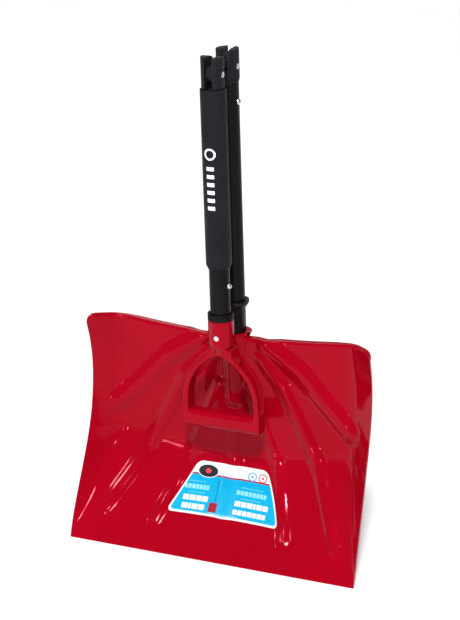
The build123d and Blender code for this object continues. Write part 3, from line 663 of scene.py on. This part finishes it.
def make_label():
    inside = LABEL_BORDER
    band_low, band_high = LABEL_BAND_Z
    white = [field(LABEL_BOTTOM_Z, LABEL_TOP_Z, 0.0, 0), spot(EMBLEM, EMBLEM_SIZES[0], 3)]
    white += [spot(BLUE_RING, RING_SIZES[1], 4), spot(RED_RING, RING_SIZES[1], 4)]
    white += [block for row in BOLD_ROWS for block in word_blocks(row, 2)]
    head = [field(band_high, LABEL_TOP_Z - inside, inside, 1)]
    sea = [field(LABEL_BOTTOM_Z + inside, band_low, inside, 1)]
    pale = [block for row in THIN_ROWS for block in word_blocks(row, 2)]
    dark_red = [field(band_low, band_high, inside, 1), patch(*SHOVEL_BLADE, 2)]
    dark = [spot(EMBLEM, EMBLEM_SIZES[1], 4), patch(*SHOVEL_SHAFT, 2, SHAFT_LEAN)]
    blue = [spot(BLUE_RING, RING_SIZES[0], 3), spot(BLUE_RING, RING_SIZES[2], 5)]
    red = [spot(RED_RING, RING_SIZES[0], 3), spot(RED_RING, RING_SIZES[2], 5)]
    red += [spot(EMBLEM, EMBLEM_SIZES[2], 5)]
    inks = [
        (white, "label_white", (0.62, 0.64, 0.67), (0.55, 0.58, 0.62)),
        (head, "label_head", (0.56, 0.59, 0.63), (0.51, 0.54, 0.59)),
        (sea, "label_field", (0.0, 0.30, 0.53), (0.01, 0.35, 0.56)),
        (pale, "label_thin", (0.22, 0.55, 0.68), (0.12, 0.46, 0.62)),
        (dark_red, "label_deep_red", (0.30, 0.012, 0.025), (0.20, 0.02, 0.03)),
        (dark, "label_black", (0.012, 0.013, 0.016), (0.04, 0.04, 0.045)),
        (blue, "label_blue", (0.05, 0.25, 0.55), (0.12, 0.33, 0.58)),
        (red, "label_red", (0.62, 0.03, 0.05), (0.55, 0.10, 0.12)),
    ]
    prints = [part for ink in inks for part in ink[0]]
    piece = new_object("label_film", *join_parts(prints), smooth=False)
    indices = []
    for index, (parts, name, color, faded) in enumerate(inks):
        piece.data.materials.append(printed_film(name, color, faded))
        indices += [index] * sum(len(faces) for _, faces in parts)
    piece.data.polygons.foreach_set("material_index", indices)
    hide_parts("blade_label")
    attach(piece, "blade_section")


make_blade()
make_label()

# ---------------------------------------------------------------- carried-over nodes
LOOKS = {
    "d_grip": red_plastic("grip_red_gloss", (1.0, 1.0, 0.3)),
    "tube_adapter": matte_plastic(
        "adapter_black", (0.006, 0.005, 0.005), (0.04, 0.04, 0.04), (0.22, 0.34), gloss=0.10, depth=0.02),
    "lower_tube": painted_tube("tube_black"),
    "hinge_link": matte_plastic("link_grey", (0.010, 0.010, 0.013), (0.04, 0.04, 0.05)),
    "lower_knuckle": matte_plastic("knuckle_grey", (0.011, 0.011, 0.014), (0.045, 0.045, 0.05)),
    "lock_sleeve": matte_plastic(
        "sleeve_grey", (0.0105, 0.011, 0.0145), (0.04, 0.04, 0.045), (0.44, 0.60)),
    "sleeve_mark": white_print("mark_white"),
    "grip_collar": matte_plastic(
        "collar_black", (0.006, 0.006, 0.006), (0.05, 0.05, 0.05), (0.35, 0.5)),
    "socket_screw": bright_steel("steel_turned", (1.0, 0.05, 1.0)),
    "lower_button_spring": bright_steel("steel_leaf", (1.0, 1.0, 0.05)),
}
SAME = {
    "upper_tube": "lower_tube", "upper_knuckle": "lower_knuckle", "grip_screw": "socket_screw",
    "lower_retaining_pin": "socket_screw", "upper_retaining_pin": "socket_screw",
    "lower_pivot_rivet": "socket_screw", "upper_pivot_rivet": "socket_screw",
    "lower_button": "socket_screw", "upper_button": "socket_screw",
    "upper_button_spring": "lower_button_spring",
}


def round_edges(piece, width):
    """Small radius on the edges of a carried-over node."""
    weld = piece.modifiers.new("weld", "WELD")
    weld.merge_threshold = WELD * MM
    bevel(piece, width, EDGE_ANGLE)


def soften_grip(piece):
    """One moulded skin over the D-grip, with soft edges and roots."""
    remesh = piece.modifiers.new("one_skin", "REMESH")
    remesh.mode = "VOXEL"
    remesh.voxel_size = GRIP_VOXEL * MM
    remesh.use_smooth_shade = True
    soften = piece.modifiers.new("soften", "SMOOTH")
    soften.factor = 0.5
    soften.iterations = GRIP_SOFTENING


def give_look(piece, look):
    """Put one material in every slot."""
    for place in range(max(1, len(piece.material_slots))):
        if place < len(piece.material_slots):
            piece.material_slots[place].material = look
        else:
            piece.data.materials.append(look)


for width, nodes in EDGES.items():
    for node in nodes:
        round_edges(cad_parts[node], width)
soften_grip(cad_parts["d_grip"])
for node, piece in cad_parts.items():
    look = LOOKS.get(SAME.get(node, node))
    if look is not None:
        give_look(piece, look)


# ---------------------------------------------------------------- floor, lights, camera
def make_floor():
    corners = [(-1, -1), (1, -1), (1, 1), (-1, 1)]
    verts = [(x * FLOOR_HALF, y * FLOOR_HALF, 0) for x, y in corners]
    piece = new_object("studio_floor", verts, [(0, 1, 2, 3)], smooth=False)
    s = Shader("pale_floor")
    tone = s.mix(s.spread(s.noise(2.0, 2.0), 0.3, 0.7), (0.93, 0.93, 0.93), (0.95, 0.95, 0.95))
    roughness = s.spread(s.noise(4.0), 0.3, 0.7, 0.6, 0.7)
    piece.data.materials.append(s.finish(tone, roughness, specular=0.2))


def towards(azimuth, elevation):
    """Unit vector for a direction seen from the front; azimuth to the right."""
    a, e = math.radians(azimuth), math.radians(elevation)
    return Vector((math.sin(a) * math.cos(e), -math.cos(a) * math.cos(e), math.sin(e)))


def area_light(name, place, size, power):
    data = bpy.data.lights.new(name, "AREA")
    data.shape = "RECTANGLE"
    data.size, data.size_y = size
    data.energy = power
    lamp = bpy.data.objects.new(name, data)
    bpy.context.scene.collection.objects.link(lamp)
    lamp.location = place
    lamp.rotation_euler = (Vector(AIM) - Vector(place)).to_track_quat("-Z", "Y").to_euler()


def sun_light(name, direction, strength, angle):
    data = bpy.data.lights.new(name, "SUN")
    data.energy = strength
    data.angle = math.radians(angle)
    lamp = bpy.data.objects.new(name, data)
    bpy.context.scene.collection.objects.link(lamp)
    lamp.rotation_euler = Vector(direction).to_track_quat("Z", "Y").to_euler()


def make_camera():
    r = math.radians(CAMERA_ROLL)
    back = towards(CAMERA_AZIMUTH, CAMERA_ELEVATION)
    level = towards(CAMERA_AZIMUTH + 90.0, 0.0)
    up = back.cross(level)
    right = level * math.cos(r) - up * math.sin(r)
    up = level * math.sin(r) + up * math.cos(r)
    place = (Vector(CAMERA_TARGET) + back * CAMERA_DISTANCE) * MM
    data = bpy.data.cameras.new("photo_view")
    data.sensor_fit = "VERTICAL"
    data.sensor_height = SENSOR_HEIGHT
    data.lens = CAMERA_LENS
    camera = bpy.data.objects.new("photo_view", data)
    bpy.context.scene.collection.objects.link(camera)
    turn = Matrix((right, up, back)).transposed().to_4x4()
    camera.matrix_world = Matrix.Translation(place) @ turn
    bpy.context.scene.camera = camera


def make_lights():
    sun_light("key", KEY_FROM, KEY_STRENGTH, KEY_ANGLE)
    for number, direction in enumerate(SPOT_DIRECTIONS):
        place = Vector(AIM) + towards(*direction) * SPOT_DISTANCE
        area_light(f"spot_{number}", place, SPOT_SIZE, SPOT_POWER)
    area_light("back_box", BACK_BOX_AT, BACK_BOX_SIZE, BACK_BOX_POWER)


def make_world():
    world = bpy.data.worlds.new("studio")
    world.use_nodes = True
    background = world.node_tree.nodes["Background"]
    background.inputs["Color"].default_value = WORLD_COLOR
    background.inputs["Strength"].default_value = WORLD_STRENGTH
    bpy.context.scene.world = world


make_floor()
make_lights()
make_world()
make_camera()
bpy.context.scene.view_settings.view_transform = "Standard"
